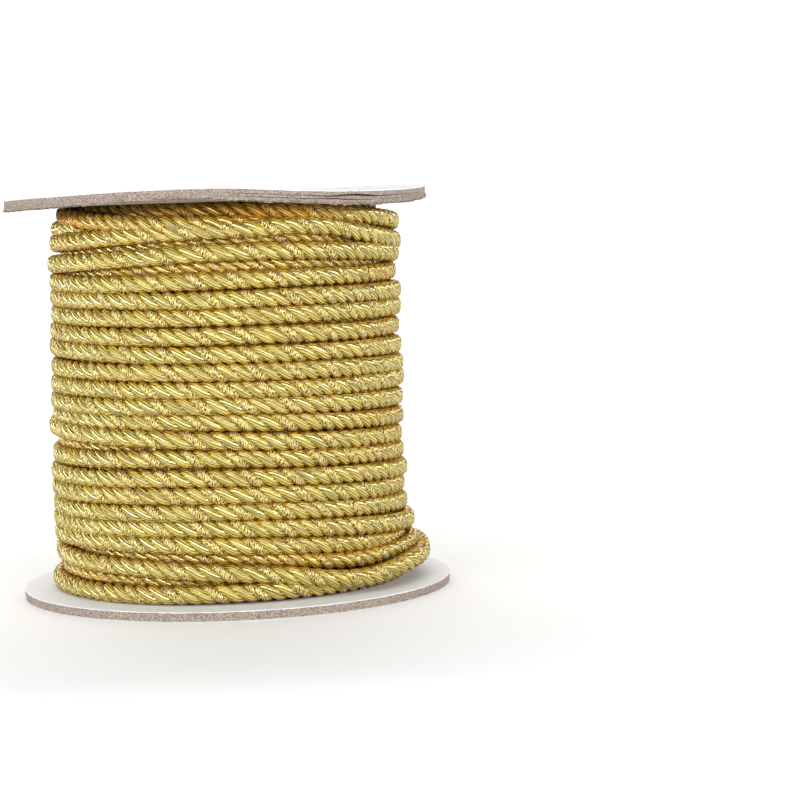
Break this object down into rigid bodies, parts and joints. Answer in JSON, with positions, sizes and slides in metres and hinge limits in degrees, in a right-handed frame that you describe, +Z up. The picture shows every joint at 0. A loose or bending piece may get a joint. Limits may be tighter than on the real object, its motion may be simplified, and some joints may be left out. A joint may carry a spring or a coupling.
{
  "type": "twisted cord on a card spool",
  "caption": "Gold twisted cord wound in rows on a spool with flat round card ends; it stands upright on one disc.",
  "frame": {"origin": "middle of the spool's underside, at the centre of the outline that the two discs make together", "axes": "+Z up along the spool; -Y is the front; +X is the side where the last turn hangs out"},
  "size_m": [0.107, 0.106, 0.099],
  "materials": {
    "card": "matt grey board with a die-cut edge, faced with plain white paper",
    "gold_cord": "lustrous gold filament strands twisted with a metallic gold strand"
  },
  "bodies": {
    "root": {"bottom_flange": "card", "top_flange": "card", "wound_cord": "gold_cord"}
  },
  "joints": []
}
